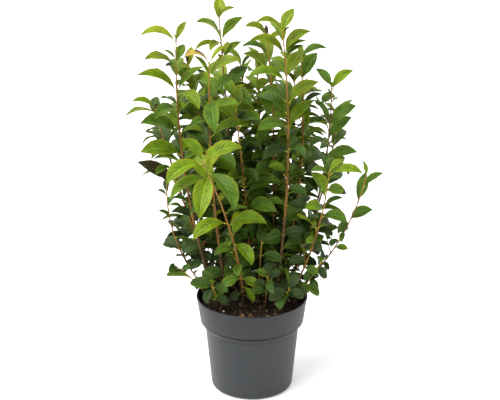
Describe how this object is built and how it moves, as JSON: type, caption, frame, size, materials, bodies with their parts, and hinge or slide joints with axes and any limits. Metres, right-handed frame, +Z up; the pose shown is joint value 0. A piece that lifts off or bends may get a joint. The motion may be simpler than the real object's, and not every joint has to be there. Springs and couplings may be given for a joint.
{
  "type": "potted privet",
  "caption": "Bushy privet shrub of upright leafy stems growing from peat in a dark grey tapered nursery pot.",
  "frame": {"origin": "centre of the pot's flat underside, where the pot stands on the ground", "axes": "+Z up along the pot's axis; -Y is the front of the plant, towards its lowest, lime-green shoot; +X to the right seen from the front"},
  "size_m": [0.4064, 0.3663, 0.6845],
  "materials": {
    "pot": "satin",
    "soil": "matte",
    "bark": "matte",
    "leaves": "satin"
  },
  "bodies": {
    "root": {"pot": "pot", "soil": "soil", "stem_front_lime": "bark", "foliage_front_lime": "leaves", "stem_front_tall": "bark", "foliage_front_tall": "leaves", "stem_front_left": "bark", "foliage_front_left": "leaves", "stem_front_right": "bark", "foliage_front_right": "leaves", "stem_left_tall": "bark", "foliage_left_tall": "leaves", "stem_right_tall": "bark", "foliage_right_tall": "leaves", "stem_right_edge": "bark", "foliage_right_edge": "leaves", "stem_left_side": "bark", "foliage_left_side": "leaves", "stem_left_low": "bark", "foliage_left_low": "leaves", "stem_top": "bark", "foliage_top": "leaves", "stem_short_left": "bark", "foliage_short_left": "leaves", "stem_middle": "bark", "foliage_middle": "leaves", "stem_middle_tall": "bark", "foliage_middle_tall": "leaves", "stem_right_inner": "bark", "foliage_right_inner": "leaves", "stem_rear_left": "bark", "foliage_rear_left": "leaves", "stem_rear_middle": "bark", "foliage_rear_middle": "leaves", "stem_rear_right": "bark", "foliage_rear_right": "leaves", "stem_rear_left_edge": "bark", "foliage_rear_left_edge": "leaves", "stem_rear_right_edge": "bark", "foliage_rear_right_edge": "leaves", "stem_rear_inner": "bark", "foliage_rear_inner": "leaves", "stem_low_front_left": "bark", "foliage_low_front_left": "leaves", "stem_low_front": "bark", "foliage_low_front": "leaves", "stem_low_front_right": "bark", "foliage_low_front_right": "leaves", "stem_low_left": "bark", "foliage_low_left": "leaves", "stem_low_right": "bark", "foliage_low_right": "leaves", "stem_low_middle": "bark", "foliage_low_middle": "leaves", "stem_low_left_back": "bark", "foliage_low_left_back": "leaves", "stem_low_rear_left": "bark", "foliage_low_rear_left": "leaves", "stem_low_rear_right": "bark", "foliage_low_rear_right": "leaves"}
  },
  "joints": []
}
